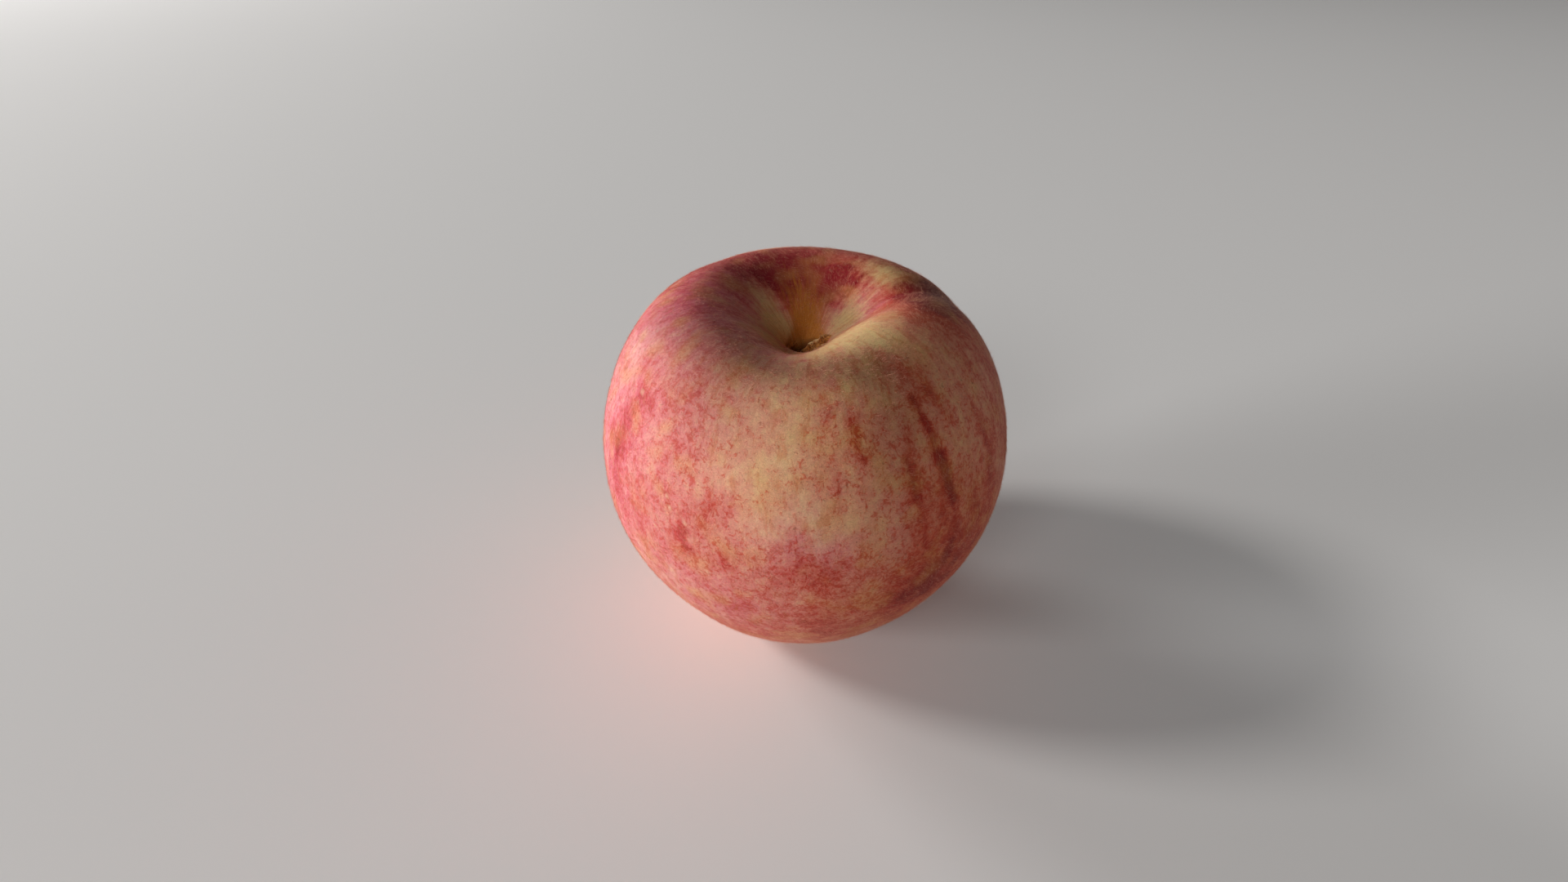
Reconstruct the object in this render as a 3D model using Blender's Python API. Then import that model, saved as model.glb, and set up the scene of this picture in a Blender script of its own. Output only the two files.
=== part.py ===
# A ripe, downy peach with its stem picked off, standing on its blossom end.
# One solid: the fruit grew in one piece, and its stone is closed in and never seen.
# Lengths below are in millimetres and angles in degrees. Angle 0 is +X, and 90 is +Y.
# +Z is up, the photograph looks along +Y, and the origin is under the middle of the fruit.
import math

import bmesh
import bpy
from mathutils import Vector

MM = 0.001

# Half of the fruit's section, as (radius, height). A smooth curve is drawn close to these
# points: the scar at the bottom of the stem cavity, the funnel, the shoulder, the widest
# girth, and the blossom end down to the rim of the flat spot.
SECTION = [
    (0.0, 56.4),
    (1.9, 56.4),
    (3.3, 56.9),
    (4.3, 59.0),
    (6.4, 60.9),
    (9.6, 63.5),
    (13.4, 65.9),
    (17.7, 67.0),
    (22.5, 65.9),
    (27.0, 62.5),
    (30.8, 57.0),
    (33.7, 50.2),
    (35.4, 42.5),
    (35.5, 34.4),
    (33.8, 26.5),
    (30.4, 19.2),
    (26.0, 12.6),
    (21.3, 7.0),
    (16.4, 3.0),
    (11.7, 0.7),
    (7.5, 0.0),
]
TOP = 66.6
GIRTH_RADIUS = 35.3

# Inside the last point of the section the fruit is flat: that is the spot it rests on.
RINGS_PER_SPAN = 3
FOOT_RINGS = 2
SEGMENTS = 76

# The fruit isn't quite round: it has slow waves round its girth, and a slight lean.
LOBES = [
    {"waves": 2, "size": 0.0054, "towards": -53.0},
    {"waves": 3, "size": 0.0045, "towards": -26.0},
]
LOBES_START, LOBES_FULL = 4.0, 20.0
LEAN = (0.4, -1.1)
TILT = (-0.1, 1.1)
LEAN_START = 0.25

# The seam runs from the scar over the right shoulder and down to the blossom end. A softer
# fold crosses the far shoulder. Where a groove deepens is given as a share of the height.
SEAM = {"towards": 12.0, "half_width": 5.0, "at_side": 0.45, "at_top": 1.3, "deepens": (0.55, 0.95)}
FOLD = {"towards": 131.0, "half_width": 5.0, "at_side": 0.0, "at_top": 0.5, "deepens": (0.75, 0.97)}
GROOVES_START, GROOVES_FULL = 3.0, 9.0
GROOVES_DEEPEN = (30.0, 14.0)  # between these radii, going in
GROOVE_SIDE = (0.0, 0.5)  # a groove fades out where it would cross to the other side
FOOT_CLEAR = (0.03, 0.15)

# The funnel's near lip hangs low, and the flank to the right of it stands proud. Both
# fade in and out again between these radii.
LIPS = [
    {"towards": -104.0, "half_angle": 30.0, "rise": -2.5},
    {"towards": -35.0, "half_angle": 30.0, "rise": 1.2},
]
LIP_BAND = (3.5, 8.0, 12.0, 30.0)
CAVITY_SHARE = 0.7

# What is left of the stem: a torn stub on one side of the scar and a pit on the other.
STUB = {"at": (1.5, 0.9), "radius": 1.3, "rise": 1.0}
PIT = {"at": (-1.6, 0.4), "radius": 1.2, "rise": -1.1}

SKIN_COLOUR = (0.78, 0.33, 0.25, 1.0)
SKIN_ROUGHNESS = 0.75


def smooth_step(low, high, value):
    t = min(max((value - low) / (high - low), 0.0), 1.0)
    return t * t * (3.0 - 2.0 * t)


def section_point(place):
    """The section as a smooth curve: place counts its points, with fractions between them."""
    last = len(SECTION) - 1
    i = min(int(place), last - 1)
    t = place - i
    start, end = Vector(SECTION[i]), Vector(SECTION[i + 1])
    before = Vector(SECTION[i - 1]) if i > 0 else Vector((-end.x, end.y))
    after = Vector(SECTION[i + 2]) if i + 2 <= last else 2.0 * end - start
    return (
        (1.0 - t) ** 3 * before
        + (3.0 * t**3 - 6.0 * t**2 + 4.0) * start
        + (-3.0 * t**3 + 3.0 * t**2 + 3.0 * t + 1.0) * end
        + t**3 * after
    ) / 6.0


def section_normal(place):
    """The direction out of the fruit, in the plane of the section."""
    last = len(SECTION) - 1
    reach = 0.05
    along = section_point(min(place + reach, last)) - section_point(max(place - reach, 0.0))
    return Vector((-along.y, along.x)).normalized()


def angle_between(azimuth, towards):
    return (azimuth - math.radians(towards) + math.pi) % math.tau - math.pi


def groove_depth(groove, radius, height, azimuth):
    off = angle_between(azimuth, groove["towards"])
    across = math.exp(-((radius * math.sin(off) / groove["half_width"]) ** 2))
    share = height / TOP
    deepened = smooth_step(*groove["deepens"], share) * smooth_step(*GROOVES_DEEPEN, radius)
    depth = groove["at_side"] + (groove["at_top"] - groove["at_side"]) * deepened
    fades = smooth_step(GROOVES_START, GROOVES_FULL, radius) * smooth_step(*FOOT_CLEAR, share)
    return across * depth * fades * smooth_step(*GROOVE_SIDE, math.cos(off))


def lip_rise(radius, azimuth):
    inner_start, inner_full, outer_full, outer_end = LIP_BAND
    band = smooth_step(inner_start, inner_full, radius) - smooth_step(outer_full, outer_end, radius)
    rise = 0.0
    for lip in LIPS:
        off = math.degrees(angle_between(azimuth, lip["towards"])) / lip["half_angle"]
        rise += lip["rise"] * math.exp(-(off**2))
    return rise * band


def scar_relief(x, y):
    relief = 0.0
    for lump in (STUB, PIT):
        away = math.hypot(x - lump["at"][0], y - lump["at"][1]) / lump["radius"]
        relief += lump["rise"] * math.exp(-(away**2))
    return relief


def fruit_point(place, azimuth):
    """One point of the skin, in millimetres."""
    radius, height = section_point(place)
    depth = sum(groove_depth(groove, radius, height, azimuth) for groove in (SEAM, FOLD))
    pushed = Vector((radius, height)) - section_normal(place) * depth
    roundness = 1.0
    for lobe in LOBES:
        wave = math.cos(lobe["waves"] * (azimuth - math.radians(lobe["towards"])))
        roundness += lobe["size"] * wave * smooth_step(LOBES_START, LOBES_FULL, radius)
    up = smooth_step(LEAN_START, 1.0, height / TOP)
    slope = TILT[0] * math.cos(azimuth) + TILT[1] * math.sin(azimuth)
    x = pushed.x * roundness * math.cos(azimuth) + LEAN[0] * up
    y = pushed.x * roundness * math.sin(azimuth) + LEAN[1] * up
    z = pushed.y + slope * up * radius / GIRTH_RADIUS
    if height > CAVITY_SHARE * TOP:
        z += scar_relief(x, y) + lip_rise(radius, azimuth)
    return Vector((x, y, z))


def foot_point(share, azimuth):
    """A point of the flat spot: share is 0 at its rim and 1 at its middle."""
    rim = fruit_point(len(SECTION) - 1, azimuth)
    return Vector((rim.x * (1.0 - share), rim.y * (1.0 - share), 0.0))


def skin_material():
    material = bpy.data.materials.new("downy skin")
    material.use_nodes = True
    surface = material.node_tree.nodes["Principled BSDF"]
    surface.inputs["Base Color"].default_value = SKIN_COLOUR
    surface.inputs["Roughness"].default_value = SKIN_ROUGHNESS
    surface.inputs["Metallic"].default_value = 0.0
    material.diffuse_color = SKIN_COLOUR
    return material


def centre_on_origin(shape):
    across = [vertex.co.x for vertex in shape.verts]
    along = [vertex.co.y for vertex in shape.verts]
    middle = Vector(((min(across) + max(across)) / 2, (min(along) + max(along)) / 2, 0.0))
    bmesh.ops.translate(shape, verts=shape.verts, vec=-middle)


def make_peach(collection):
    """A sphere whose rings are laid along the section, from the scar down to the foot."""
    section_rings = (len(SECTION) - 1) * RINGS_PER_SPAN
    rings = section_rings + FOOT_RINGS
    shape = bmesh.new()
    bmesh.ops.create_uvsphere(shape, u_segments=SEGMENTS, v_segments=rings, radius=1.0)
    for vertex in shape.verts:
        ring = round(math.acos(max(-1.0, min(1.0, vertex.co.z))) / math.pi * rings)
        azimuth = math.atan2(vertex.co.y, vertex.co.x)
        if ring < section_rings:
            point = fruit_point(ring / RINGS_PER_SPAN, azimuth)
        else:
            point = foot_point((ring - section_rings) / FOOT_RINGS, azimuth)
        vertex.co = point * MM
    centre_on_origin(shape)
    bmesh.ops.recalc_face_normals(shape, faces=shape.faces)
    mesh = bpy.data.meshes.new("peach")
    shape.to_mesh(mesh)
    shape.free()
    mesh.shade_smooth()
    peach = bpy.data.objects.new("peach", mesh)
    peach.data.materials.append(skin_material())
    collection.objects.link(peach)
    return peach


def clear_scene():
    for item in list(bpy.data.objects):
        bpy.data.objects.remove(item, do_unlink=True)


def main():
    clear_scene()
    collection = bpy.data.collections.new("peach")
    bpy.context.scene.collection.children.link(collection)
    make_peach(collection)


main()
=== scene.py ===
import math

import bmesh
import bpy
import numpy as np
from mathutils import Euler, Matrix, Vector, noise


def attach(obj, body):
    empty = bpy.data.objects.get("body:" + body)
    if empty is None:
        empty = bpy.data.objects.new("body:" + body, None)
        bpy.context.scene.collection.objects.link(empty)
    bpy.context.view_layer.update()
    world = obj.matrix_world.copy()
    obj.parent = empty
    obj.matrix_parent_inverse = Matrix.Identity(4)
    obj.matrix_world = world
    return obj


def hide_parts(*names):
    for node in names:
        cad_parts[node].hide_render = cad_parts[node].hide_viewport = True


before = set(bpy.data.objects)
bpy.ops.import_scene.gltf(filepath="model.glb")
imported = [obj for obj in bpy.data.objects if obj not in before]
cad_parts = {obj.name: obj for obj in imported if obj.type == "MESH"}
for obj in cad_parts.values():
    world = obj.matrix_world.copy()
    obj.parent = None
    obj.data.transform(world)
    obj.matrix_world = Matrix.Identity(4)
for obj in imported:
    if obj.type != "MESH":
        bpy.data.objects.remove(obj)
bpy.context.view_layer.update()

# Lengths are in millimetres until a mesh is written, and angles in degrees.
# Angle 0 is +X, the right of the photograph, and 90 is +Y, its far side.
# A place on the skin is an angle and a way: how far it is from the scar, along the skin.
mm = 0.001
farOff = 99.0  # out of reach of anything
rng = np.random.default_rng(7)

peach = {
    "section": [
        (0.0, 56.4), (1.9, 56.4), (3.3, 56.9), (4.3, 59.0), (6.4, 60.9), (9.6, 63.5), (13.4, 65.9),
        (17.7, 67.0), (22.5, 65.9), (27.0, 62.5), (30.8, 57.0), (33.7, 50.2), (35.4, 42.5),
        (35.5, 34.4), (33.8, 26.5), (30.4, 19.2), (26.0, 12.6), (21.3, 7.0), (16.4, 3.0),
        (11.7, 0.7), (7.5, 0.0),
    ],
    "segments": 300,
    "rings": 300,
    "footRings": 6,
    "top": 66.6,
    "girthRadius": 35.3,
    "lobes": [(2, 0.0054, -53.0), (3, 0.0045, -26.0)],  # waves, size, towards
    "lobesStart": (4.0, 20.0),  # radius
    "lean": (0.4, -1.1),
    "tilt": (-0.1, 1.1),
    "leanStart": 0.25,  # share of the height
    "seam": {
        "towards": 12.0, "halfWidth": 5.0, "atSide": 0.45, "atTop": 1.3, "deepens": (0.55, 0.95),
    },
    "fold": {
        "towards": 131.0, "halfWidth": 5.0, "atSide": 0.0, "atTop": 0.5, "deepens": (0.75, 0.97),
    },
    "groovesStart": (3.0, 9.0),  # radius, from the scar outwards
    "groovesDeepen": (30.0, 14.0),  # radius, going in
    "grooveSide": (0.0, 0.5),  # a groove fades out where it would cross to the other side
    "footClear": (0.03, 0.15),  # share of the height
    "crease": {"halfWidth": 0.7, "depth": 0.2, "starts": (4.0, 9.0), "fades": (16.0, 24.0), "above": 0.5},
    "lips": [(-104.0, 30.0, -2.5), (-35.0, 30.0, 1.2)],  # towards, half angle, rise
    "lipBand": (3.5, 8.0, 12.0, 30.0),  # radius
    "lumps": [(1.5, 0.9, 1.3, 1.0), (-1.6, 0.4, 1.2, -1.1)],  # x, y, radius, rise
    "cavityShare": 0.7,
    # slow dents and smaller ones, as layers of noise: size, amount, seed
    "dents": [(9.0, 1.0, 3.0), (3.0, 0.4, 5.0)],
    "dentDepth": 0.09,
    "dentsFromScar": (3.0, 9.0),
    "dentsAboveFoot": (1.0, 6.0),
}


def smoothStep(low, high, value):
    t = np.clip((value - low) / (high - low), 0.0, 1.0)
    return t * t * (3.0 - 2.0 * t)


def angleBetween(angle, towards):
    return (angle - towards + 180.0) % 360.0 - 180.0


def sectionPoint(place):
    points = np.array(peach["section"])
    last = len(points) - 1
    first = points[1] * (-1.0, 1.0)
    points = np.vstack([first, points, 2.0 * points[-1] - points[-2]])
    i = np.clip(place.astype(int), 0, last - 1)
    t = (place - i)[:, None]
    return (
        (1.0 - t) ** 3 * points[i]
        + (3.0 * t**3 - 6.0 * t**2 + 4.0) * points[i + 1]
        + (-3.0 * t**3 + 3.0 * t**2 + 3.0 * t + 1.0) * points[i + 2]
        + t**3 * points[i + 3]
    ) / 6.0


lastPlace = len(peach["section"]) - 1
wayPlaces = np.linspace(0.0, lastPlace, 4001)  # close enough to measure the way along the skin
wayLengths = np.concatenate([[0.0], np.cumsum(np.hypot(*np.diff(sectionPoint(wayPlaces), axis=0).T))])


def wayOf(place):
    return np.interp(place, wayPlaces, wayLengths)


def seamOffset(radius, angle):
    # How far a place is from the middle of the seam, and far off on the other side of the fruit.
    off = angleBetween(angle, peach["seam"]["towards"])
    return np.where(np.abs(off) < 90.0, radius * np.sin(np.radians(off)), farOff)


def grooveDepth(groove, radius, height, angle):
    off = angleBetween(angle, groove["towards"])
    across = np.exp(-((radius * np.sin(np.radians(off)) / groove["halfWidth"]) ** 2))
    share = height / peach["top"]
    deepened = smoothStep(*groove["deepens"], share) * smoothStep(*peach["groovesDeepen"], radius)
    depth = groove["atSide"] + (groove["atTop"] - groove["atSide"]) * deepened
    fades = smoothStep(*peach["groovesStart"], radius) * smoothStep(*peach["footClear"], share)
    return across * depth * fades * smoothStep(*peach["grooveSide"], np.cos(np.radians(off)))


def fruitPoints(place, angle):
    # The same shape as the solid, for arrays of places and angles.
    radius, height = sectionPoint(place).T
    ahead = sectionPoint(np.minimum(place + 0.05, lastPlace))
    behind = sectionPoint(np.maximum(place - 0.05, 0.0))
    along = ahead - behind
    along /= np.linalg.norm(along, axis=1, keepdims=True)
    depth = grooveDepth(peach["seam"], radius, height, angle)
    depth += grooveDepth(peach["fold"], radius, height, angle)
    crease = peach["crease"]
    across = np.exp(-((seamOffset(radius, angle) / crease["halfWidth"]) ** 2))
    fades = smoothStep(*crease["starts"], radius) * (1.0 - smoothStep(*crease["fades"], radius))
    depth += crease["depth"] * across * fades * (height > crease["above"] * peach["top"])
    turned = np.radians(angle)
    roundness = np.ones_like(radius)
    for waves, size, towards in peach["lobes"]:
        wave = np.cos(waves * np.radians(angle - towards))
        roundness += size * wave * smoothStep(*peach["lobesStart"], radius)
    up = smoothStep(peach["leanStart"], 1.0, height / peach["top"])
    slope = peach["tilt"][0] * np.cos(turned) + peach["tilt"][1] * np.sin(turned)
    reach = (radius + along[:, 1] * depth) * roundness
    x = reach * np.cos(turned) + peach["lean"][0] * up
    y = reach * np.sin(turned) + peach["lean"][1] * up
    z = height - along[:, 0] * depth + slope * up * radius / peach["girthRadius"]
    inCavity = height > peach["cavityShare"] * peach["top"]
    for lumpX, lumpY, lumpRadius, rise in peach["lumps"]:
        away = np.hypot(x - lumpX, y - lumpY) / lumpRadius
        z += rise * np.exp(-(away**2)) * inCavity
    band = smoothStep(*peach["lipBand"][:2], radius) - smoothStep(*peach["lipBand"][2:], radius)
    for towards, halfAngle, rise in peach["lips"]:
        z += rise * band * np.exp(-((angleBetween(angle, towards) / halfAngle) ** 2)) * inCavity
    return np.column_stack([x, y, z])


def onSkin(angle, way):
    # The point of the skin at an angle and a way from the scar.
    place = np.interp(np.atleast_1d(way).astype(float), wayLengths, wayPlaces)
    return fruitPoints(place, np.atleast_1d(angle).astype(float)) - fruitMiddle


def softNoise(points, size, seed):
    # About zero; each seed reads another part of the same noise.
    return np.array([noise.noise(Vector(p) / size + Vector((seed, 2 * seed, 0))) for p in points])


def layeredNoise(points, layers):
    return sum(amount * softNoise(points, size, seed) for size, amount, seed in layers)


def meshArrays(mesh):
    points = np.empty(len(mesh.vertices) * 3, np.float32)
    normals = np.empty(len(mesh.vertices) * 3, np.float32)
    mesh.vertices.foreach_get("co", points)
    mesh.vertices.foreach_get("normal", normals)
    return points.reshape(-1, 3) / mm, normals.reshape(-1, 3)


def newPiece(name, mesh, material, smooth=True):
    piece = bpy.data.objects.new(name, mesh)
    bpy.context.scene.collection.objects.link(piece)
    mesh.materials.append(material)
    if smooth:
        mesh.shade_smooth()
    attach(piece, "root")
    return piece


# The middle of the bare shape, which the solid was centred by.
probePlace, probeAngle = np.meshgrid(np.linspace(0.0, lastPlace, 400), np.arange(0.0, 360.0, 1.0))
probe = fruitPoints(probePlace.ravel(), probeAngle.ravel())
fruitMiddle = np.array([*(probe.min(0) + probe.max(0))[:2] / 2.0, 0.0])
print("shape ready, middle at", np.round(fruitMiddle, 3))


def addNode(tree, kind, **settings):
    # A node with its properties and sockets set: a socket takes a value or another socket.
    node = tree.nodes.new(kind)
    sockets = settings.pop("sockets", {})
    for key, value in settings.items():
        setattr(node, key, value)
    for key, value in sockets.items():
        if isinstance(value, bpy.types.NodeSocket):
            tree.links.new(value, node.inputs[key])
        else:
            node.inputs[key].default_value = value
    return node


def mathOf(tree, operation, *values):
    return addNode(tree, "ShaderNodeMath", operation=operation, sockets=dict(enumerate(values))).outputs[0]


def ramp(tree, value, low, high):
    # 0 below low, 1 above high, smooth between them.
    sockets = {"Value": value, "From Min": low, "From Max": high}
    return addNode(tree, "ShaderNodeMapRange", interpolation_type="SMOOTHSTEP", sockets=sockets).outputs[0]


def blendColour(tree, amount, under, over, blend="MIX"):
    sockets = {0: amount, 6: under, 7: over}
    return addNode(tree, "ShaderNodeMix", data_type="RGBA", blend_type=blend, sockets=sockets).outputs[2]


def deepen(tree, amount, under, over):
    return blendColour(tree, amount, under, over, "MULTIPLY")


def noiseOf(tree, vector, settings):
    sockets = {"Vector": vector}
    sockets.update(zip(("Scale", "Detail", "Roughness", "Distortion"), settings))
    return addNode(tree, "ShaderNodeTexNoise", sockets=sockets).outputs["Fac"]


def aboutZero(tree, value):
    return mathOf(tree, "SUBTRACT", value, 0.5)


def addShares(tree, level, parts, shares):
    # The level with a share of each named part added to it.
    for name, share in shares.items():
        level = mathOf(tree, "MULTIPLY_ADD", parts[name], share, level)
    return level


def rampOf(tree, value, stops):
    node = addNode(tree, "ShaderNodeValToRGB", sockets={0: value})
    while len(node.color_ramp.elements) < len(stops):
        node.color_ramp.elements.new(0.5)
    for element, (position, colour) in zip(node.color_ramp.elements, stops):
        element.position = position
        element.color = colour
    return node.outputs[0]


def attributeOf(tree, name, output="Fac"):
    return addNode(tree, "ShaderNodeAttribute", attribute_name=name).outputs[output]


def placeInMm(tree):
    place = addNode(tree, "ShaderNodeTexCoord").outputs["Object"]
    sockets = {"Vector": place, "Scale": (1 / mm, 1 / mm, 1 / mm)}
    return addNode(tree, "ShaderNodeMapping", sockets=sockets).outputs[0]


def addBump(tree, surface, height, strength, distance):
    sockets = {"Height": height, "Strength": strength, "Distance": distance * mm}
    tree.links.new(addNode(tree, "ShaderNodeBump", sockets=sockets).outputs[0], surface.inputs["Normal"])


def newMaterial(name, sockets):
    # A new material and its shader, with the shader's own sockets set.
    material = bpy.data.materials.new(name)
    material.use_nodes = True
    surface = material.node_tree.nodes["Principled BSDF"]
    for key, value in sockets.items():
        surface.inputs[key].default_value = value
    return material, surface


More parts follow.
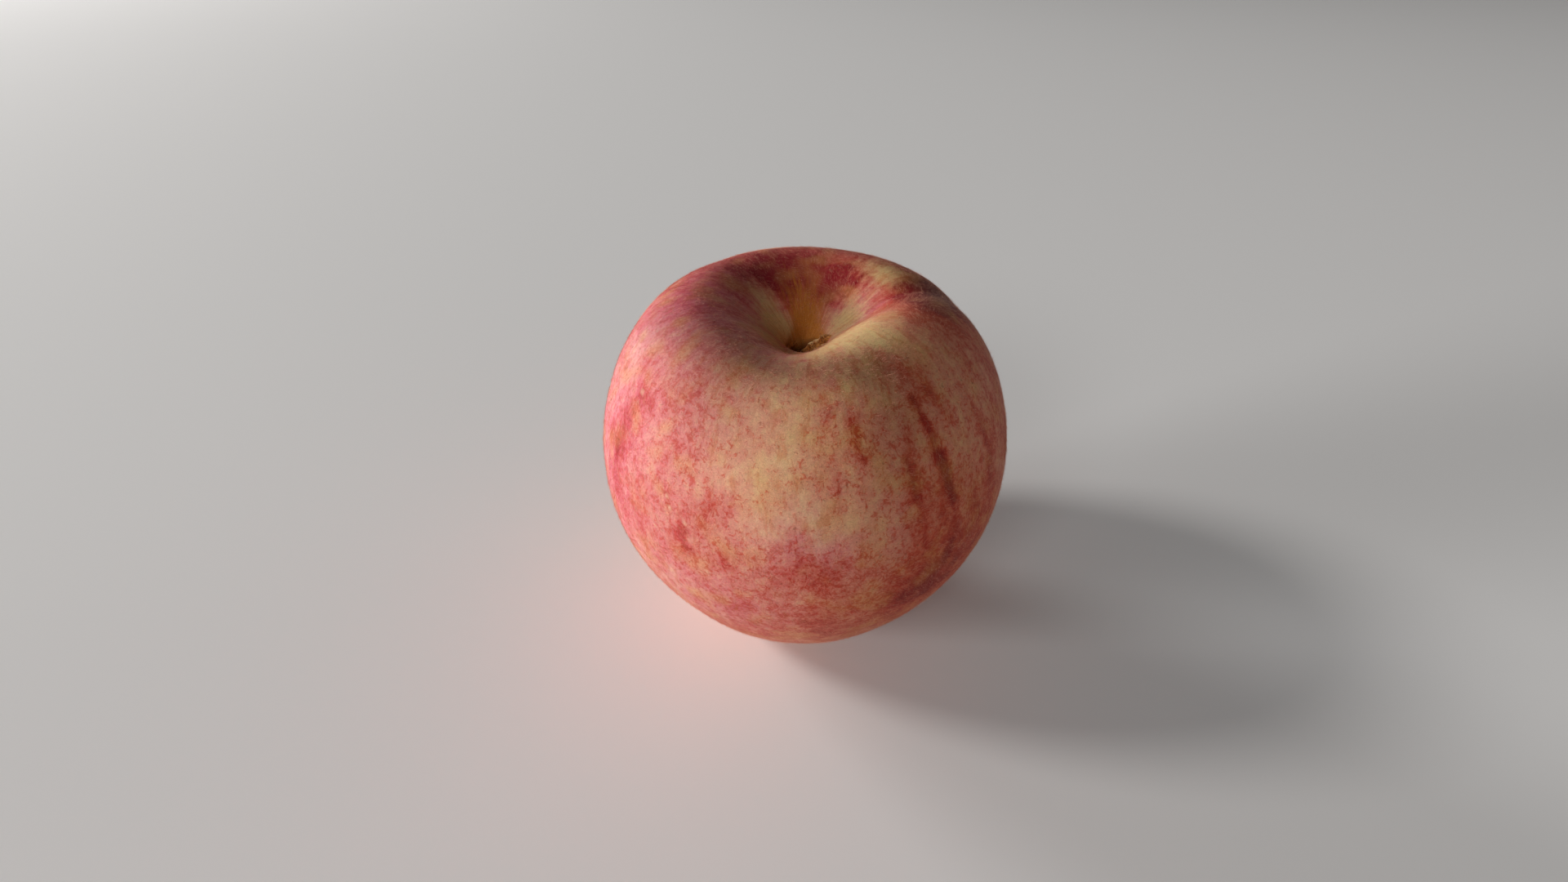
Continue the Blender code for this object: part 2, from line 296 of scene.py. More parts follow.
skinLook = {
    # colours from pale to fully ripe, on the sunny right and on the pinker left cheek
    "ripening": [
        (0.00, (0.72, 0.45, 0.21, 1)),
        (0.22, (0.69, 0.34, 0.17, 1)),
        (0.42, (0.64, 0.22, 0.13, 1)),
        (0.62, (0.56, 0.115, 0.055, 1)),
        (0.80, (0.44, 0.055, 0.026, 1)),
        (1.00, (0.28, 0.018, 0.012, 1)),
    ],
    "cheek": [
        (0.00, (0.77, 0.41, 0.34, 1)),
        (0.22, (0.72, 0.30, 0.30, 1)),
        (0.42, (0.67, 0.20, 0.24, 1)),
        (0.62, (0.60, 0.12, 0.165, 1)),
        (0.80, (0.48, 0.06, 0.09, 1)),
        (1.00, (0.31, 0.02, 0.04, 1)),
    ],
    "pale": (0.72, 0.50, 0.23, 1),
    "warm": (0.66, 0.36, 0.11, 1),
    "fleck": (0.86, 0.40, 0.31, 1),  # this and the next one multiply the colour under them
    "stroke": (0.91, 0.72, 0.64, 1),
    "russet": (0.50, 0.165, 0.022, 1),
    "fibre": (0.66, 0.32, 0.08, 1),
    # the bottom of the pit: dark russet with painted shade
    "russetAndPitShade": (0.20, 0.06, 0.012, 1),
    "speck": (0.26, 0.07, 0.03, 1),
    # painted shade: an olive-tinted darkening multiplied into the skin
    "paintedShade": (0.52, 0.58, 0.52, 1),
    "dot": (0.78, 0.50, 0.34, 1),
    "roughness": 0.6,
    "sheen": 0.05,
    "sheenRoughness": 0.4,
    "sheenTint": (1.0, 0.85, 0.75, 1),
    "specular": 0.15,
    "subsurface": 0.06,
    "subsurfaceReach": 0.8 * mm,
    "subsurfaceColours": (1.0, 0.4, 0.25),
    # scale, detail, roughness and distortion of each noise: the last three run along the flow, from
    # the scar down the fruit, and the others lie in millimetres
    "noises": {
        "blotch": (0.16, 3.0, 0.5, 0.5),
        "mottle": (0.50, 5.0, 0.72, 0.4),
        "curl": (1.35, 2.0, 0.55, 1.0),
        "nap": (3.2, 3.0, 0.7, 1.6),
        "tint": (0.22, 1.0, 0.5, 0.0),
        "speck": (1.7, 1.0, 0.5, 0.5),
        "streak": (1.0, 3.0, 0.6, 0.2),
        "stroke": (1.6, 4.0, 0.7, 0.4),
        "fibre": (3.0, 2.0, 0.6, 0.0),
    },
    # the share of the streaks and of the blotches: the change where the skin is streaky, and elsewhere
    "streakShare": (0.35, 0.40),
    "blotchShare": (-0.22, 0.42),
    "ripenessShares": {"mottle": 0.66, "curl": 0.15, "pale": -0.25, "seam": 0.12},
    "pinkShares": {"seam": 0.5},
    "paleShares": {"streak": -0.6, "mottle": -1.1},
    "fleckShares": {"level": 0.34, "mottle": 0.25, "pale": -0.10},
    "rustShares": {"streak": 0.8, "fibre": 0.9, "pale": -0.4},
    "reliefShares": (0.7, 0.5),  # nap, curl
    "relief": (0.5, 0.12),  # strength, height
    # where each tint starts and is full
    "ranges": {
        "tint": (0.45, 0.75),
        "pale": (0.0, 1.1),
        "fleck": (0.12, 0.32),
        "stroke": (-0.02, 0.16),
        "rust": (0.1, 0.9),
        "fibre": (0.02, 0.16),
        "fibreRust": (0.5, 1.0),
        "speck": (0.68, 0.78),
        "dot": (0.10, 0.95),
    },
    "fleckClarity": (0.6, 0.25),  # the change where the skin is squiggly, and elsewhere
    "tintAmount": 0.4,
    "fibreAmount": 0.5,
    "speckAmount": 0.5,
    "dotAmount": 0.6,
    # the nap's lighter strokes are pale hairs and its darker ones painted shade between them
    "napRange": (0.3, 0.7),
    "napShadeAndPaleHair": (0.80, 1.18),
    # ways from the scar at which the painted marks start, fade and end
    "seamMark": {
        "halfWidth": 0.8,
        "starts": (6.0, 10.0),
        "faints": (19.0, 27.0),
        "faintsBy": 0.7,
        "ends": (80.0, 96.0),
    },
    "deepEnds": (1.2, 3.4),
    "streaksEnd": (14.0, 24.0),
    "streakySide": (-22.0, 26.0, 0.8),  # towards, half angle, amount
    "squigglesStart": (20.0, 36.0),
    "calmCheek": (-165.0, 38.0, 0.5),
    "flowRadius": 13.0,  # the flow is true to size across at this radius, and slower along
    "flowAlong": 0.14,
    # Soft areas of the skin: (angle, way, half width across, half length along, amount).
    # Those of the blush add up from the ground value, and the others from none.
    "blushGround": 0.44,
    "blushAreas": [
        (-150, 44, 4, 11, 0.14),  # left cheek
        (-166, 54, 6, 12, -0.08),
        (-130, 54, 12, 9, 0.04),
        (-130, 70, 14, 9, -0.14),
        (-172, 36, 7, 9, -0.12),
        (-159, 34, 5, 5, -0.10),
        (-168, 22, 10, 4, 0.12),
        (-128, 13, 6, 4, -0.10),
        (-95, 38, 9, 12, -0.30),  # cream middle
        (-112, 40, 6, 8, -0.10),
        (-84, 49, 6, 4, -0.18),
        (-100, 48, 4, 4, -0.12),
        (-70, 47, 4, 8, -0.12),
        (-73, 66, 1.5, 9, -0.14),
        (-108, 29, 5, 4, -0.10),
        (-117, 36, 5, 5, 0.08),
        (-81, 40, 3, 6, -0.08),
        (-66, 29, 5, 5, -0.14),
        (-90, 57, 8, 3.5, 0.16),  # blotches under the middle
        (-85, 70, 12, 8, 0.14),
        (-90, 84, 40, 9, 0.12),
        (-62, 66, 7, 7, 0.34),
        (-48, 62, 9, 9, 0.34),
        (-42, 37, 9, 9, -0.22),  # right side
        (-22, 44, 9, 14, 0.04),
        (-38, 24, 9, 5, -0.12),
        (-54, 21.5, 4, 4, -0.26),
        (-50, 34, 6, 9, 0.03),
        (-36, 44, 6, 12, 0.12),
        (-60, 50, 7, 10, 0.12),
        (-8, 22, 8, 5, 0.36),
        (-14, 50, 8, 16, 0.12),
        (12, 23, 7, 5, 0.36),  # shoulder beyond the seam
        (6, 28, 9, 5, 0.24),
        (60, 14, 6, 6, 0.22),  # walls of the cavity
        (118, 18, 9, 5, 0.32),
        (80, 26, 30, 9, 0.26),
        (29, 13, 3, 5, -0.18),
        (72, 14, 9, 6, 0.18),
        (95, 16, 7, 5, 0.22),
        (36, 9, 4, 4, -0.20),
        (164, 5, 2, 3, -0.20),
        (148, 10, 5, 5, -0.10),
        (165, 30, 14, 8, 0.10),  # the unseen left side
        (164, 46, 8, 12, 0.20),
        (172, 70, 9, 7, 0.12),
        (148, 56, 7, 9, -0.16),
        (150, 30, 8, 6, 0.12),
        (110, 52, 22, 18, 0.16),  # the back
        (40, 60, 18, 16, 0.24),
        (10, 44, 10, 14, 0.10),
        (160, 66, 14, 14, -0.06),
        (70, 84, 16, 10, 0.12),
    ],
    "paleAreas": [
        (-64, 17, 5, 3.5, 0.85),  # near flank of the seam
        (-72, 11, 5, 5, 0.8),
        (-35, 14, 5, 5, 0.35),
        (-54, 21, 4, 3.5, 0.5),
        (-92, 20, 5, 3, 0.35),
        (-72, 23, 6, 3, 0.3),
        (36, 20.5, 4.5, 3.5, 0.9),  # patch beyond the seam
        (21, 8.5, 3, 3.5, 0.55),  # right wall of the funnel
        (26, 11, 3, 4, 0.35),
        (42, 10, 4, 4, 0.10),
        (157, 7, 2, 3, 0.8),  # left wall of the funnel
        (160, 6, 3, 3, 0.8),
        (138, 12, 2.5, 4, 0.7),
        (-160, 9, 4, 3, 0.35),
        (-130, 10, 4, 3, 0.35),
        (-98, 31, 4, 4, 0.25),  # small patches in front
        (-78, 29, 1.6, 2.5, 0.4),
        (-76, 37, 1.2, 2, 0.4),
        (-104, 41, 1.6, 2, 0.35),
        (-118, 45, 1.4, 1.6, 0.3),
        (-65, 41, 1.2, 2, 0.4),
        (150, 72, 10, 8, 0.35),  # the back
        (95, 44, 6, 8, 0.3),
        (20, 74, 6, 7, 0.3),
    ],
    "paintedShadeAreas": [  # painted shade: darker, olive-tinted skin round the near lip, in the funnel and on the far shoulder, where shade falls
        (-125, 26, 10, 6, 0.7),
        (-92, 24, 9, 4, 0.75),
        (-68, 26, 6, 4, 0.85),
        (-66, 34, 6, 6, 0.35),
        (-116, 34, 9, 6, 0.35),
        (-150, 20, 9, 6, 0.6),
        (-165, 28, 7, 4, 0.35),
        (14, 26, 9, 6, 0.95),
        (132, 18, 8, 5, 0.8),
        (-56, 19, 4, 3, 0.25),
    ],
    "pinkAreas": [
        (-165, 48, 30, 34, 1.0),
        (-112, 68, 14, 10, 0.45),
        (-175, 22, 14, 8, 0.4),
        (100, 60, 18, 24, 0.4),
        (30, 12, 4, 6, 0.25),
        (-88, 51, 11, 7, 0.45),
        (84, 17, 16, 8, 0.35),
    ],
    "russetAreas": [
        (84, 4, 3.6, 5, 1.0),
        (98, 11, 3.2, 5, 0.55),
        (-60, 2, 20, 2.2, 0.8),
        (150, 1.5, 9, 2, 0.8),
    ],
    "markSteps": 8,  # from one point of a mark to the next
    "markSoftness": 1.5,
    "markReach": 4.0,
    # red marks: (half width, strength, [(angle, way), ...])
    "redMarks": [
        (0.9, 0.28, [(-58, 27), (-55, 29), (-51, 33), (-49, 37.4)]),
        (0.5, 0.50, [(-58.5, 32), (-56, 37.6), (-55, 42.4), (-53, 45.7)]),
        (0.8, 0.55, [(-54, 41), (-53, 45.7), (-52, 49)]),
        (0.9, 0.22, [(-52, 49), (-51, 55), (-53, 60)]),
        (0.7, 0.46, [(-78.5, 33), (-77.5, 35), (-76.5, 38.5)]),
        (0.9, 0.16, [(-86, 30), (-86, 35), (-84, 41)]),
        (0.6, 0.42, [(-65, 40), (-64, 43), (-63, 46)]),
        (0.8, 0.18, [(-85, 42), (-83, 46)]),
        (1.6, 0.14, [(-94, 54), (-90, 55.5), (-88, 58)]),
        (1.8, 0.24, [(-60.5, 24.5), (-58.5, 26), (-55, 28)]),
        (1.3, 0.24, [(-147, 37), (-149, 42), (-151, 47)]),
        (1.1, 0.18, [(-151, 49), (-150, 53), (-148, 57)]),
        (0.9, 0.34, [(-121.5, 52.5), (-122, 54.5), (-120, 56)]),
        (0.8, 0.14, [(-110, 46), (-111, 52), (-110, 57)]),
        (0.6, 0.22, [(-38, 34), (-35, 42), (-35, 50)]),
        (0.6, 0.18, [(-30, 30), (-27, 38)]),
        (0.8, 0.20, [(-57, 60), (-56, 68)]),
        (0.6, 0.22, [(-84, 76), (-83, 79)]),
        (1.0, 0.12, [(-105, 66), (-112, 70)]),
        (0.7, 0.30, [(22, 20), (12, 23), (0, 25), (-12, 26)]),
        (0.6, 0.26, [(5, 20), (-6, 22), (-16, 25)]),
        (0.5, 0.24, [(8, 18), (10, 24), (12, 32)]),
        (0.6, 0.16, [(45, 11), (44, 14), (43, 18)]),
        (0.9, 0.26, [(62, 9), (63, 13), (60, 18)]),
        (0.7, 0.22, [(84, 12), (84, 19)]),
        (1.2, 0.34, [(108, 10), (110, 15), (112, 20)]),
        (1.0, 0.24, [(124, 12), (122, 18)]),
        (0.6, 0.22, [(40, 30), (42, 40)]),
        (0.8, 0.22, [(75, 34), (77, 46), (76, 58)]),
        (0.7, 0.20, [(128, 30), (130, 44)]),
    ],
    "paleDots": [  # (angle, way, radius)
        (-147, 36.3, 0.55), (-127, 48.3, 0.45), (-126, 50, 0.4), (-121, 51.5, 0.5), (-119.5, 54.2, 0.5),
        (-115, 59.6, 0.5), (-112, 57.8, 0.4), (-131, 55, 0.4), (-104, 60, 0.4), (-152, 51, 0.4),
        (-140, 63, 0.4), (-98, 69, 0.3), (120, 40, 0.4), (60, 52, 0.5), (30, 64, 0.4), (90, 70, 0.5),
    ],
}


def areaSum(angle, way, radius, areas, ground):
    total = np.full(len(angle), float(ground))
    for areaAngle, areaWay, halfAcross, halfAlong, amount in areas:
        across = radius * np.radians(angleBetween(angle, areaAngle)) / halfAcross
        along = (way - areaWay) / halfAlong
        total += amount * np.exp(-(across**2) - along**2)
    return total


def markStrength(points, marks):
    total = np.zeros(len(points))
    for halfWidth, strength, route in marks:
        steps = np.linspace(0.0, len(route) - 1.0, skinLook["markSteps"] * len(route))
        angles = np.interp(steps, range(len(route)), [a for a, w in route])
        ways = np.interp(steps, range(len(route)), [w for a, w in route])
        line = onSkin(angles, ways)
        reach = np.ptp(line, axis=0).max() + skinLook["markReach"] * halfWidth
        near = np.linalg.norm(points - line.mean(0), axis=1) < reach
        away = np.full(near.sum(), farOff)
        for point in line:
            away = np.minimum(away, np.linalg.norm(points[near] - point, axis=1))
        fade = np.exp(-((away / (skinLook["markSoftness"] * halfWidth)) ** 2))
        total[near] = np.maximum(total[near], strength * fade)
    return total


def addAttribute(mesh, name, values):
    attribute = mesh.attributes.new(name, "FLOAT", "POINT")
    attribute.data.foreach_set("value", values.astype(np.float32))


def paintSkin(mesh, angle, way):
    look = skinLook
    points = meshArrays(mesh)[0]
    radius = np.hypot(points[:, 0], points[:, 1])
    level = areaSum(angle, way, radius, look["blushAreas"], look["blushGround"])
    addAttribute(mesh, "blush", level + markStrength(points, look["redMarks"]))
    # the last of these is painted shade round the near lip and on the far shoulder
    for name in ("pale", "pink", "russet", "paintedShade"):
        amount = areaSum(angle, way, radius, look[name + "Areas"], 0.0)
        addAttribute(mesh, name, np.clip(amount, 0.0, 1.0))
    dots = np.zeros(len(points))
    for dotAngle, dotWay, size in look["paleDots"]:
        away = np.linalg.norm(points - onSkin(dotAngle, dotWay), axis=1) / size
        dots = np.maximum(dots, np.exp(-(away**2)))
    addAttribute(mesh, "dot", dots)
    mark = look["seamMark"]
    crease = np.exp(-((seamOffset(radius, angle) / mark["halfWidth"]) ** 2))
    fades = smoothStep(*mark["starts"], way) * (1.0 - mark["faintsBy"] * smoothStep(*mark["faints"], way))
    addAttribute(mesh, "seam", crease * fades * (1.0 - smoothStep(*mark["ends"], way)))
    # the pit round the scar, painted darker: dark russet and painted shade
    addAttribute(mesh, "deep", 1.0 - smoothStep(*look["deepEnds"], way))
    # the fruit is streaky by the cavity and down its right side
    towards, halfAngle, amount = look["streakySide"]
    side = amount * np.exp(-((angleBetween(angle, towards) / halfAngle) ** 2))
    addAttribute(mesh, "streaks", np.maximum(1.0 - smoothStep(*look["streaksEnd"], way), side))
    # the squiggles are plainest in front and low down, and faint by the cavity and on the cheek
    towards, halfAngle, amount = look["calmCheek"]
    cheek = np.exp(-((angleBetween(angle, towards) / halfAngle) ** 2))
    addAttribute(mesh, "squiggly", smoothStep(*look["squigglesStart"], way) * (1.0 - amount * cheek))
    flow = mesh.attributes.new("flow", "FLOAT_VECTOR", "POINT")
    turned = np.radians(angle)
    across = look["flowRadius"] * np.column_stack([np.cos(turned), np.sin(turned)])
    stretched = np.column_stack([across, look["flowAlong"] * way])
    flow.data.foreach_set("vector", stretched.astype(np.float32).ravel())


def skinMaterial():
    look = skinLook
    material, surface = newMaterial("downySkin", {
        "Roughness": look["roughness"],
        "Sheen Weight": look["sheen"],
        "Sheen Roughness": look["sheenRoughness"],
        "Sheen Tint": look["sheenTint"],
        "Specular IOR Level": look["specular"],
        "Subsurface Weight": look["subsurface"],
        "Subsurface Scale": look["subsurfaceReach"],
        "Subsurface Radius": look["subsurfaceColours"],
    })
    tree = material.node_tree
    inMm = placeInMm(tree)
    flow = attributeOf(tree, "flow", "Vector")
    alongFlow = ("streak", "stroke", "fibre")
    noises = {}
    for name, settings in look["noises"].items():
        noises[name] = noiseOf(tree, flow if name in alongFlow else inMm, settings)
    parts = {name: attributeOf(tree, name) for name in ("pale", "seam", "streaks")}
    for name in ("blotch", "mottle", "curl", "streak", "fibre"):
        parts[name] = aboutZero(tree, noises[name])

    def tintRange(name, value):
        return ramp(tree, value, *look["ranges"][name])

    # ripeness: the painted blush, with mottling of every size and streaks down the fruit
    streakShare = mathOf(tree, "MULTIPLY_ADD", parts["streaks"], *look["streakShare"])
    blotchShare = mathOf(tree, "MULTIPLY_ADD", parts["streaks"], *look["blotchShare"])
    shares = {"streak": streakShare, "blotch": blotchShare, **look["ripenessShares"]}
    level = addShares(tree, attributeOf(tree, "blush"), parts, shares)
    parts["level"] = level
    pink = addShares(tree, attributeOf(tree, "pink"), parts, look["pinkShares"])
    sunny, cheek = (rampOf(tree, level, look[name]) for name in ("ripening", "cheek"))
    colour = blendColour(tree, pink, sunny, cheek)
    # soft warm tints, and pale skin that keeps some of the mottling
    tint = tintRange("tint", noises["tint"])
    colour = blendColour(tree, mathOf(tree, "MULTIPLY", tint, look["tintAmount"]), colour, look["warm"])
    paleness = addShares(tree, parts["pale"], parts, look["paleShares"])
    colour = blendColour(tree, tintRange("pale", paleness), colour, look["pale"])
    # short red squiggles, closer together where the skin is redder, and finer strokes along the flow
    fleck = addShares(tree, parts["curl"], parts, look["fleckShares"])
    clarity = mathOf(tree, "MULTIPLY_ADD", attributeOf(tree, "squiggly"), *look["fleckClarity"])
    flecks = mathOf(tree, "MULTIPLY", tintRange("fleck", fleck), clarity)
    colour = deepen(tree, flecks, colour, look["fleck"])
    gap = mathOf(tree, "SUBTRACT", 0.5, noises["stroke"])
    colour = deepen(tree, tintRange("stroke", gap), colour, look["stroke"])
    # rust round the scar, in fine streaks, and darker at the bottom: dark russet with painted shade in the
    # pit
    rust = addShares(tree, attributeOf(tree, "russet"), parts, look["rustShares"])
    colour = blendColour(tree, tintRange("rust", rust), colour, look["russet"])
    fibres = mathOf(tree, "MULTIPLY", tintRange("fibre", parts["fibre"]), tintRange("fibreRust", rust))
    colour = blendColour(tree, mathOf(tree, "MULTIPLY", fibres, look["fibreAmount"]), colour, look["fibre"])
    colour = blendColour(tree, attributeOf(tree, "deep"), colour, look["russetAndPitShade"])
    # painted shade round the near lip, in the funnel and on the far shoulder, darker and olive-tinted
    colour = deepen(tree, attributeOf(tree, "paintedShade"), colour, look["paintedShade"])
    # small dark specks and pale dots
    specks = tintRange("speck", noises["speck"])
    colour = blendColour(tree, mathOf(tree, "MULTIPLY", specks, look["speckAmount"]), colour, look["speck"])
    dots = tintRange("dot", attributeOf(tree, "dot"))
    colour = blendColour(tree, mathOf(tree, "MULTIPLY", dots, look["dotAmount"]), colour, look["dot"])
    # the nap, in lighter and darker strokes: pale hairs, and painted shade between them
    low, high = look["napRange"]
    dark, light = look["napShadeAndPaleHair"]
    sockets = {"Value": noises["nap"], "From Min": low, "From Max": high, "To Min": dark, "To Max": light}
    shade = addNode(tree, "ShaderNodeMapRange", sockets=sockets).outputs[0]
    tree.links.new(deepen(tree, 1.0, colour, shade), surface.inputs["Base Color"])
    napShare, curlShare = look["reliefShares"]
    height = mathOf(tree, "MULTIPLY", noises["nap"], napShare)
    height = mathOf(tree, "MULTIPLY_ADD", parts["curl"], curlShare, height)
    addBump(tree, surface, height, *look["relief"])
    return material


def makeSkin():
    shape = bmesh.new()
    rings = peach["rings"]
    bmesh.ops.create_uvsphere(shape, u_segments=peach["segments"], v_segments=rings, radius=1.0)
    mesh = bpy.data.meshes.new("peachSkin")
    shape.to_mesh(mesh)
    shape.free()
    ball = meshArrays(mesh)[0] * mm
    ring = np.round(np.arccos(np.clip(ball[:, 2], -1.0, 1.0)) / math.pi * rings)
    angle = np.degrees(np.arctan2(ball[:, 1], ball[:, 0]))
    sideRings = rings - peach["footRings"]
    place = np.minimum(ring / sideRings, 1.0) * lastPlace
    points = fruitPoints(place, angle)
    inner = np.clip((ring - sideRings) / peach["footRings"], 0.0, 1.0)
    points[:, :2] *= (1.0 - inner)[:, None]
    points -= fruitMiddle
    way = wayOf(place) + inner * peach["section"][-1][0]
    # dents and swellings, none of them on the foot or the scar
    calm = smoothStep(*peach["dentsFromScar"], way) * smoothStep(*peach["dentsAboveFoot"], points[:, 2])
    swell = layeredNoise(points, peach["dents"]) * peach["dentDepth"] * calm
    mesh.vertices.foreach_set("co", (points * mm).astype(np.float32).ravel())
    mesh.update()
    outward = meshArrays(mesh)[1]
    points += outward * swell[:, None]
    mesh.vertices.foreach_set("co", (points * mm).astype(np.float32).ravel())
    mesh.update()
    paintSkin(mesh, angle, way)
    piece = newPiece("peachSkin", mesh, skinMaterial())
    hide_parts("peach")
    return piece, way


skin, skinWay = makeSkin()
print("skin:", len(skin.data.polygons), "faces")

stemScar = {
    # what the stem left behind: torn folds, each with the places (x, y, z) that its crest passes
    "folds": [
        {
            "halfWidth": 1.30, "depth": 1.3, "ragged": 0.10, "paleEdgeAndHighlight": 1.0,
            "route": [
                (-0.7, -1.5, 56.9), (0.4, -0.8, 57.5), (1.3, -0.1, 58.2),
                (2.3, 0.4, 58.6), (3.6, 0.7, 58.8), (5.4, 0.5, 58.8),
            ],
        },
        {
            "halfWidth": 0.60, "depth": 0.8, "ragged": 0.08, "paleEdgeAndHighlight": 0.8,
            "route": [(0.6, -2.2, 56.6), (1.8, -1.1, 57.3), (3.2, -0.4, 57.7), (4.6, -0.4, 57.8)],
        },
        {
            "halfWidth": 0.40, "depth": 0.5, "ragged": 0.08, "paleEdgeAndHighlight": 0.2,
            "route": [
                (-3.1, -1.8, 56.9), (-3.0, -0.2, 57.2), (-2.2, 1.4, 57.1),
                (-0.9, 2.3, 57.0), (0.9, 2.6, 57.0),
            ],
        },
        {
            "halfWidth": 0.22, "depth": 0.4, "ragged": 0.05, "paleEdgeAndHighlight": 0.1,
            "route": [(-1.6, -1.2, 56.4), (-1.2, 0.2, 56.3), (-0.4, 1.2, 56.5), (0.4, 1.5, 56.7)],
        },
    ],
    "segments": 32,
    "rings": 64,
    "pinched": (-0.4, 0.9, 0.85),  # from, to, by
    "edgeStarts": (0.35, 0.95),
    "tears": [(0.45, 2.0, 21.0), (0.16, 1.0, 23.0)],  # size, amount, seed
    "ripples": [(0.5, 1.0, 27.0)],
    "wander": [(0.9, 1.0, 25.0)],
    "wanderLeast": 0.15,  # at the foot of a fold, and how much more at its edge
    "wanderMore": 0.60,
    "fibres": 420,
    "fibresAnywhere": 0.4,  # share of them; the others lie about the next angle
    "fibresTowards": (85.0, 38.0),
    "fibreStart": (2.0, 6.8),  # way from the scar
    "fibreLength": (0.4, 1.3),
    "fibreTurn": 7.0,
    "fibreRise": (0.05, 0.35),
    "fibreLean": 0.02,  # share of the way to the middle
    "fibreSides": 5,
    "fibreTip": 0.15,
    "fibreThickness": 0.05,
    "fibreSizes": (0.6, 1.3),
    "fibrePaleness": (0.0, 0.75),
    "torn": (0.68, 0.29, 0.06, 1),
    "dark": (0.24, 0.08, 0.015, 1),
    # the pale torn edges, with a painted highlight on them
    "edge": (0.88, 0.60, 0.28, 1),
    "roughness": 0.7,
    "grain": (4.0, 3.0, 0.6, 0.8),  # scale, detail, roughness, distortion
    "grainRange": (0.34, 0.60),
    "edgeRange": (0.30, 0.80),
    "relief": (0.6, 0.08),  # strength, height
}


def scarMaterial():
    material, surface = newMaterial("tornStem", {"Roughness": stemScar["roughness"]})
    tree = material.node_tree
    grain = noiseOf(tree, placeInMm(tree), stemScar["grain"])
    amount = ramp(tree, grain, *stemScar["grainRange"])
    colour = blendColour(tree, amount, stemScar["dark"], stemScar["torn"])
    # pale fibres, and pale torn edges that are partly painted highlight
    edge = mathOf(tree, "ADD", aboutZero(tree, grain), attributeOf(tree, "edge"))
    colour = blendColour(tree, ramp(tree, edge, *stemScar["edgeRange"]), colour, stemScar["edge"])
    tree.links.new(colour, surface.inputs["Base Color"])
    addBump(tree, surface, grain, *stemScar["relief"])
    return material


def along(route, place):
    return np.column_stack([np.interp(place, range(len(route)), column) for column in zip(*route)])


def foldMesh(halfWidth, depth, ragged, paleEdgeAndHighlight, route):
    # A closed bead along the route, pinched into a torn edge along its top.
    shape = bmesh.new()
    segments, rings = stemScar["segments"], stemScar["rings"]
    bmesh.ops.create_uvsphere(shape, u_segments=segments, v_segments=rings, radius=1.0)
    mesh = bpy.data.meshes.new("fold")
    shape.to_mesh(mesh)
    shape.free()
    ball = meshArrays(mesh)[0] * mm
    place = np.arccos(np.clip(ball[:, 2], -1.0, 1.0)) / math.pi * (len(route) - 1.0)
    crest = (along(route, place - 0.35) + along(route, place) + along(route, place + 0.35)) / 3.0
    way = (along(route, place + 0.6) - along(route, place - 0.6)) * (1.0, 1.0, 0.0)
    way /= np.linalg.norm(way, axis=1, keepdims=True)
    side = np.column_stack([-way[:, 1], way[:, 0], np.zeros(len(way))])
    thick = np.hypot(ball[:, 0], ball[:, 1])
    low, high, amount = stemScar["pinched"]
    pinch = 1.0 - amount * smoothStep(low, high, ball[:, 1])
    points = crest + side * (ball[:, 0] * pinch * halfWidth)[:, None]
    points[:, 2] += (ball[:, 1] - thick) * depth
    edge = smoothStep(*stemScar["edgeStarts"], ball[:, 1])
    tear = layeredNoise(crest, stemScar["tears"]) * edge
    points[:, 2] += (tear + layeredNoise(points, stemScar["ripples"])) * ragged
    wander = layeredNoise(crest, stemScar["wander"]) * halfWidth
    points += side * ((stemScar["wanderLeast"] + stemScar["wanderMore"] * edge) * wander)[:, None]
    return mesh, points, edge * paleEdgeAndHighlight


def joinedMesh(name, parts):
    # One mesh from several, with the torn edges marked.
    shape = bmesh.new()
    edges = []
    for mesh, points, edge in parts:
        mesh.vertices.foreach_set("co", (points * mm).astype(np.float32).ravel())
        shape.from_mesh(mesh)
        edges.append(edge)
    bmesh.ops.recalc_face_normals(shape, faces=shape.faces)
    joined = bpy.data.meshes.new(name)
    shape.to_mesh(joined)
    shape.free()
    addAttribute(joined, "edge", np.concatenate(edges))
    return joined


def fibreParts():
    # Dry fibres on the walls round the scar, lying down towards it, most of them on the far side.
    parts = []
    for _ in range(stemScar["fibres"]):
        anywhere = rng.random() < stemScar["fibresAnywhere"]
        angle = rng.uniform(-180.0, 180.0) if anywhere else rng.normal(*stemScar["fibresTowards"])
        start = rng.uniform(*stemScar["fibreStart"])
        length = rng.uniform(*stemScar["fibreLength"])
        turn = rng.normal(0.0, stemScar["fibreTurn"])
        root, tip = onSkin([angle, angle + turn], [start, start + length])
        tip = tip + (0.0, 0.0, rng.uniform(*stemScar["fibreRise"]))
        tip -= (root - fruitMiddle) * stemScar["fibreLean"]
        shape = bmesh.new()
        sides, point = stemScar["fibreSides"], stemScar["fibreTip"]
        bmesh.ops.create_cone(shape, cap_ends=True, segments=sides, radius1=1.0, radius2=point, depth=1.0)
        mesh = bpy.data.meshes.new("fibre")
        shape.to_mesh(mesh)
        shape.free()
        unit = meshArrays(mesh)[0] * mm
        axis = (tip - root) / np.linalg.norm(tip - root)
        first = np.cross(axis, (0.0, 0.0, 1.0))
        first /= np.linalg.norm(first)
        second = np.cross(axis, first)
        radius = stemScar["fibreThickness"] / 2.0 * rng.uniform(*stemScar["fibreSizes"])
        share = unit[:, 2:3] + 0.5
        points = root + (tip - root) * share + (unit[:, 0:1] * first + unit[:, 1:2] * second) * radius
        parts.append((mesh, points, np.full(len(points), rng.uniform(*stemScar["fibrePaleness"]))))
    return parts


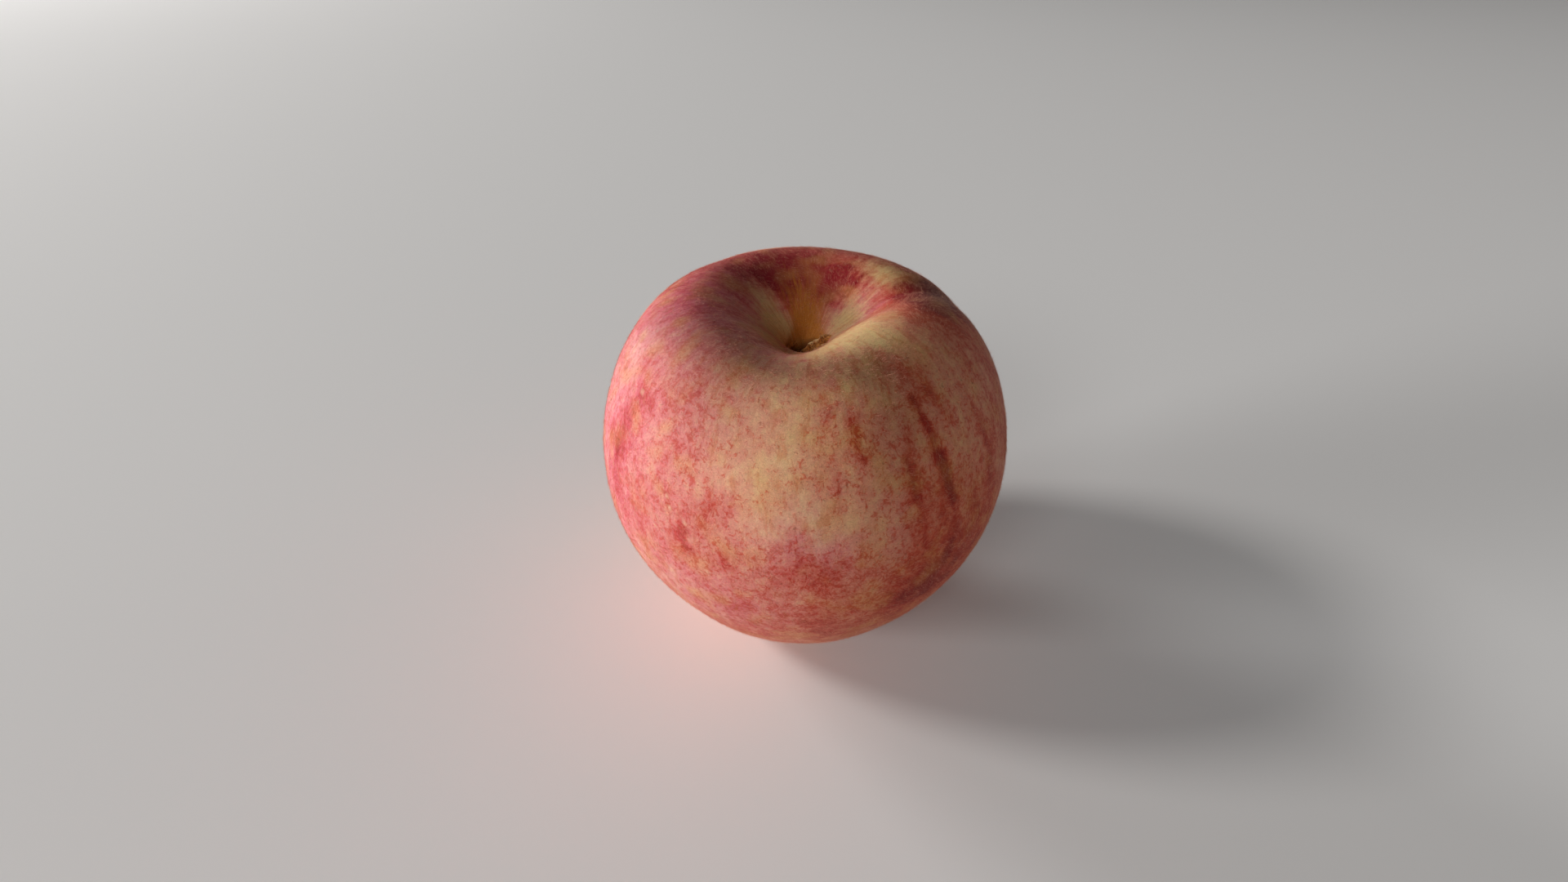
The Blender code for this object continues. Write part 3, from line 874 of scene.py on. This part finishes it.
def makeScar():
    parts = [foldMesh(**fold) for fold in stemScar["folds"]] + fibreParts()
    mesh = joinedMesh("stemScar", parts)
    for part in parts:
        bpy.data.meshes.remove(part[0])
    newPiece("stemScar", mesh, scarMaterial())
    print("scar:", len(mesh.polygons), "faces")


makeScar()

down = {
    "pieces": 4,
    "hairsEach": 49000,
    "hairsInTuft": 3,
    "length": (0.35, 0.80),
    "thickness": 0.015,
    "thicknesses": (0.8, 1.2),
    "lift": (8.0, 32.0),
    "rootSpread": 0.17,  # across the hair, and twice that along it
    "tipSpread": 0.08,
    "sunk": 0.02,
    "aboveFloor": 0.05,
    "fromScar": (3.0, 9.0),
    "fromFoot": 1.0,
    "swirls": [(7.0, 150.0, 11.0), (2.5, 60.0, 13.0)],  # size, turn, seed
    "turn": (-20.0, 18.0),  # middle, spread
    "colour": (0.75, 0.36, 0.24, 1),
    "roughness": 0.55,
    "specular": 0.15,
}


def skinTriangles():
    # A new sphere may start a face at any of its corners, so they are sorted: each run is then the same.
    triangles = []
    for face in sorted(sorted(polygon.vertices) for polygon in skin.data.polygons):
        triangles += [face] if len(face) == 3 else [face[:3], face[1:]]
    return np.array(triangles)


def tuftRoots(count, corners):
    # Tufts stand evenly on the skin: a triangle is drawn by its area, and a point in it at random.
    points, normals = meshArrays(skin.data)
    a, b, c = points[corners[:, 0]], points[corners[:, 1]], points[corners[:, 2]]
    area = np.linalg.norm(np.cross(b - a, c - a), axis=1)
    way = skinWay[corners].mean(axis=1)
    area *= smoothStep(*down["fromScar"], way) * (way < wayLengths[-1] - down["fromFoot"])
    chosen = rng.choice(len(corners), size=count, p=area / area.sum())
    u, v = rng.random(count), rng.random(count)
    flip = u + v > 1.0
    u[flip], v[flip] = 1.0 - u[flip], 1.0 - v[flip]
    root = a[chosen] + u[:, None] * (b[chosen] - a[chosen]) + v[:, None] * (c[chosen] - a[chosen])
    normal = normals[corners[chosen]].mean(axis=1)
    return root, normal / np.linalg.norm(normal, axis=1, keepdims=True)


def combed(root, normal):
    # The lie of the down: round the fruit, turned by slow swirls.
    around = np.column_stack([-root[:, 1], root[:, 0], np.zeros(len(root))])
    around /= np.linalg.norm(around, axis=1, keepdims=True) + 1e-9
    around -= normal * np.sum(around * normal, axis=1, keepdims=True)
    around /= np.linalg.norm(around, axis=1, keepdims=True) + 1e-9
    across = np.cross(normal, around)
    turn = rng.normal(*down["turn"], len(root)) + layeredNoise(root, down["swirls"])
    turn = np.radians(turn)[:, None]
    return around * np.cos(turn) + across * np.sin(turn)


def needleMesh(name, count):
    # One three-sided needle, doubled until there are enough.
    needle = bmesh.new()
    bmesh.ops.create_cone(needle, cap_ends=True, segments=3, radius1=1.0, radius2=0.0, depth=1.0)
    mesh = bpy.data.meshes.new(name)
    needle.to_mesh(mesh)
    needle.free()
    shape = bmesh.new()
    shape.from_mesh(mesh)  # read afresh, so that the four points of each needle stay together
    while len(shape.verts) < 4 * count:
        wanted = min(len(shape.verts), 4 * count - len(shape.verts))
        shape.verts.ensure_lookup_table()
        shape.faces.ensure_lookup_table()
        bmesh.ops.duplicate(shape, geom=shape.faces[:wanted])
    shape.to_mesh(mesh)
    shape.free()
    return mesh


def makeDown(index, material, corners):
    count, perTuft = down["hairsEach"], down["hairsInTuft"]
    tufts = count // perTuft + 1
    root, normal = tuftRoots(tufts, corners)
    comb = combed(root, normal)
    lift = np.radians(rng.uniform(*down["lift"], tufts))[:, None]
    length = rng.uniform(*down["length"], tufts)[:, None]
    tip = root + (comb * np.cos(lift) + normal * np.sin(lift)) * length
    root, tip, normal = (np.repeat(x, perTuft, axis=0)[:count] for x in (root, tip, normal))
    side = np.cross(normal, tip - root)
    side /= np.linalg.norm(side, axis=1, keepdims=True)
    root = root + side * rng.normal(0.0, down["rootSpread"], (count, 1))
    root += np.cross(side, normal) * rng.normal(0.0, down["rootSpread"] * 2, (count, 1))
    root -= normal * down["sunk"]
    tip = tip + rng.normal(0.0, down["tipSpread"], (count, 3))
    tip[:, 2] = np.maximum(tip[:, 2], down["aboveFloor"])
    along = tip - root
    along /= np.linalg.norm(along, axis=1, keepdims=True)
    first = np.cross(along, normal)
    first /= np.linalg.norm(first, axis=1, keepdims=True)
    second = np.cross(along, first)
    mesh = needleMesh(f"down{index}", count)
    unit = meshArrays(mesh)[0].reshape(count, 4, 3) * mm
    radius = down["thickness"] / 2.0 * rng.uniform(*down["thicknesses"], (count, 1, 1))
    isTip = unit[:, :, 2:3] > 0.0
    ringPoint = (
        root[:, None, :]
        + first[:, None, :] * unit[:, :, 0:1] * radius
        + second[:, None, :] * unit[:, :, 1:2] * radius
    )
    points = np.where(isTip, tip[:, None, :], ringPoint)
    mesh.vertices.foreach_set("co", (points * mm).astype(np.float32).ravel())
    mesh.update()
    newPiece(f"down{index}", mesh, material, smooth=False)


sockets = {"Base Color": down["colour"], "Roughness": down["roughness"]}
paleDown = newMaterial("paleDown", {**sockets, "Specular IOR Level": down["specular"]})[0]
corners = skinTriangles()
for index in range(down["pieces"]):
    makeDown(index + 1, paleDown, corners)
print("down:", down["pieces"] * down["hairsEach"], "hairs")

stageLook = {
    "floorSize": 4.4,  # metres
    "floorColour": (0.92, 0.92, 0.92, 1),
    "floorRoughness": 0.9,
    "airColour": (1.0, 1.0, 1.0, 1),
    "airLow": 0.30,  # brightness by the horizon, and overhead
    "airHigh": 0.02,
    "airTurns": (0.20, 0.57),  # the height at which it starts to change, and ends
    "aim": (0.0, 0.0, 0.035),
    # name, towards, height angle, away (metres), size, watts, colour
    "lights": [
        ("keyLight", -165.0, 5.0, 5.0, 1.56, 244.0, (1.0, 0.98, 0.96)),
        ("backLight", 145.0, 16.0, 5.0, 1.56, 84.0, (1.0, 0.98, 0.96)),
        ("frontLight", -120.0, 28.0, 5.0, 1.56, 34.0, (1.0, 0.98, 0.96)),
        ("rimLight", 15.0, 6.0, 5.0, 1.56, 13.0, (1.0, 0.95, 0.90)),
        ("highLight", 176.0, 34.0, 5.0, 1.0, 78.0, (1.0, 0.96, 0.92)),
    ],
}


def makeStage():
    shape = bmesh.new()
    bmesh.ops.create_grid(shape, x_segments=1, y_segments=1, size=stageLook["floorSize"] / 2)
    mesh = bpy.data.meshes.new("floor")
    shape.to_mesh(mesh)
    shape.free()
    floor = bpy.data.objects.new("floor", mesh)
    bpy.context.scene.collection.objects.link(floor)
    sockets = {"Base Color": stageLook["floorColour"], "Roughness": stageLook["floorRoughness"]}
    mesh.materials.append(newMaterial("paleFloor", sockets)[0])
    world = bpy.data.worlds.new("studioAir")
    world.use_nodes = True
    tree = world.node_tree
    background = tree.nodes["Background"]
    towards = addNode(tree, "ShaderNodeTexCoord").outputs["Generated"]
    upward = addNode(tree, "ShaderNodeSeparateXYZ", sockets={0: towards}).outputs["Z"]
    fall = stageLook["airHigh"] - stageLook["airLow"]
    turned = ramp(tree, upward, *stageLook["airTurns"])
    strength = mathOf(tree, "MULTIPLY_ADD", turned, fall, stageLook["airLow"])
    background.inputs["Color"].default_value = stageLook["airColour"]
    tree.links.new(strength, background.inputs["Strength"])
    bpy.context.scene.world = world
    for name, towards, height, away, size, watts, colour in stageLook["lights"]:
        data = bpy.data.lights.new(name, "AREA")
        data.shape = "DISK"
        data.size = size
        data.energy = watts
        data.color = colour
        lamp = bpy.data.objects.new(name, data)
        out = Vector((away, 0.0, 0.0))
        out.rotate(Euler((0.0, -math.radians(height), math.radians(towards))))
        lamp.location = Vector(stageLook["aim"]) + out
        lamp.rotation_euler = (-out).to_track_quat("-Z", "Y").to_euler()
        bpy.context.scene.collection.objects.link(lamp)


camera = {
    "pitch": 34.62,
    "away": 140.0,  # from the aim
    "aim": (-3.46, 0.28, 37.4),
    "focal": 935.0,  # in pixels of the photograph's frame
    "frameWidth": 1920.0,
    "sensor": 36.0,
    "nearest": 0.005,
}


def makeCamera():
    data = bpy.data.cameras.new("camera")
    data.sensor_width = camera["sensor"]
    data.lens = camera["focal"] / camera["frameWidth"] * camera["sensor"]
    data.clip_start = camera["nearest"]
    eye = bpy.data.objects.new("camera", data)
    pitch = math.radians(camera["pitch"])
    aim = Vector(camera["aim"])
    eye.location = (aim + Vector((0.0, -math.cos(pitch), math.sin(pitch))) * camera["away"]) * mm
    eye.rotation_euler = (math.pi / 2 - pitch, 0.0, 0.0)
    bpy.context.scene.collection.objects.link(eye)
    bpy.context.scene.camera = eye


makeStage()
makeCamera()
bpy.context.scene.view_settings.view_transform = "Standard"
print("stage and camera ready")
